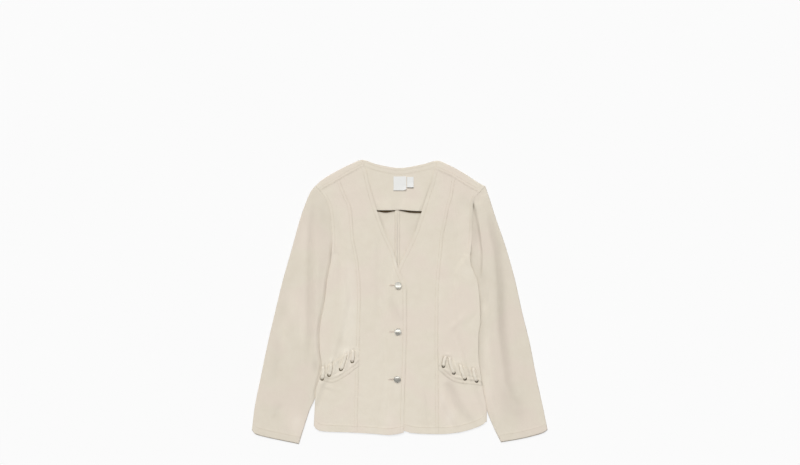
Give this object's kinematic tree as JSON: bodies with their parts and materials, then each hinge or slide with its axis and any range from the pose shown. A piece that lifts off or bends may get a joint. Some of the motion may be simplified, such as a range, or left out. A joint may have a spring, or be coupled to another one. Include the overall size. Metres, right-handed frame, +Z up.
{
  "type": "denim jacket",
  "caption": "Collarless V-neck denim jacket laid flat, with princess seams, domed metal buttons, laced curved pockets and long sleeves.",
  "frame": {"origin": "middle of the footprint, on the surface that the jacket lies on", "axes": "+X towards the wearer's left sleeve, +Y from the hem towards the neck, +Z up out of the surface through the back and then the fronts"},
  "size_m": [0.6946, 0.6678, 0.0126],
  "materials": {
    "denim": "matte",
    "label_tape": "satin",
    "button_metal": "satin",
    "eyelet_metal": "aged"
  },
  "bodies": {
    "root": {"back_right": "denim", "sleeve_top_right": "denim", "sleeve_under_right": "denim", "front_side_right": "denim", "pocket_front_right": "denim", "front_centre_right": "denim", "shoulder_right": "denim", "pocket_band_right": "denim", "eyelet_right_1": "eyelet_metal", "lace_right_1": "denim", "eyelet_right_2": "eyelet_metal", "lace_right_2": "denim", "eyelet_right_3": "eyelet_metal", "lace_right_3": "denim", "eyelet_right_4": "eyelet_metal", "lace_right_4": "denim", "back_left": "denim", "sleeve_top_left": "denim", "sleeve_under_left": "denim", "front_side_left": "denim", "pocket_front_left": "denim", "front_centre_left": "denim", "shoulder_left": "denim", "pocket_band_left": "denim", "eyelet_left_1": "eyelet_metal", "lace_left_1": "denim", "eyelet_left_2": "eyelet_metal", "lace_left_2": "denim", "eyelet_left_3": "eyelet_metal", "lace_left_3": "denim", "eyelet_left_4": "eyelet_metal", "lace_left_4": "denim", "back_neck_facing": "denim", "main_label": "label_tape", "size_label": "label_tape", "button_1": "button_metal", "button_2": "button_metal", "button_3": "button_metal"}
  },
  "joints": []
}
